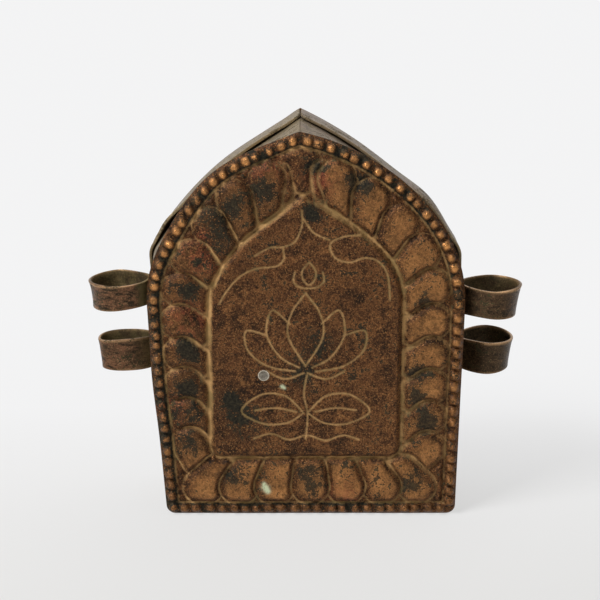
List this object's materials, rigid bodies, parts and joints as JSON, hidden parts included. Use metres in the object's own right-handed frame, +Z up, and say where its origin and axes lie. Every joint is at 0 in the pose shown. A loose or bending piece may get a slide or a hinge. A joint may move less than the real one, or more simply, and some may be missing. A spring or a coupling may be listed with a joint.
{
  "type": "ghau amulet box",
  "caption": "Pointed-arch copper amulet box in two telescoping shells, with a raised lotus-petal face, bead border and strap loops on both sides.",
  "frame": {"origin": "on the plane the box stands on, below the middle of its outer box", "axes": "+Z up, +X to the right of someone who looks at the face, -Y out of the face"},
  "size_m": [0.1071, 0.026, 0.1008],
  "materials": {
    "face_copper": "chased copper sheet with brown patina",
    "band_copper": "plain copper sheet with grey-green patina",
    "loop_copper": "bent copper strip with dark patina",
    "back_copper": "plain copper sheet with brown patina",
    "rivet_tin": "dull tinned rivet"
  },
  "bodies": {
    "rear_shell": {"rear_band_left": "band_copper", "rear_band_right": "band_copper", "back_plate": "back_copper", "rear_loop_left": "loop_copper", "rear_loop_right": "loop_copper"},
    "front_shell": {"face_plate": "face_copper", "face_rivet": "rivet_tin", "front_band_left": "band_copper", "front_band_right": "band_copper", "front_loop_left": "loop_copper", "front_loop_right": "loop_copper"}
  },
  "joints": [
    {"name": "shell_slide", "type": "slide", "parent": "rear_shell", "child": "front_shell", "axis": [0, -1, 0], "range_m": [0, 0.04]}
  ]
}
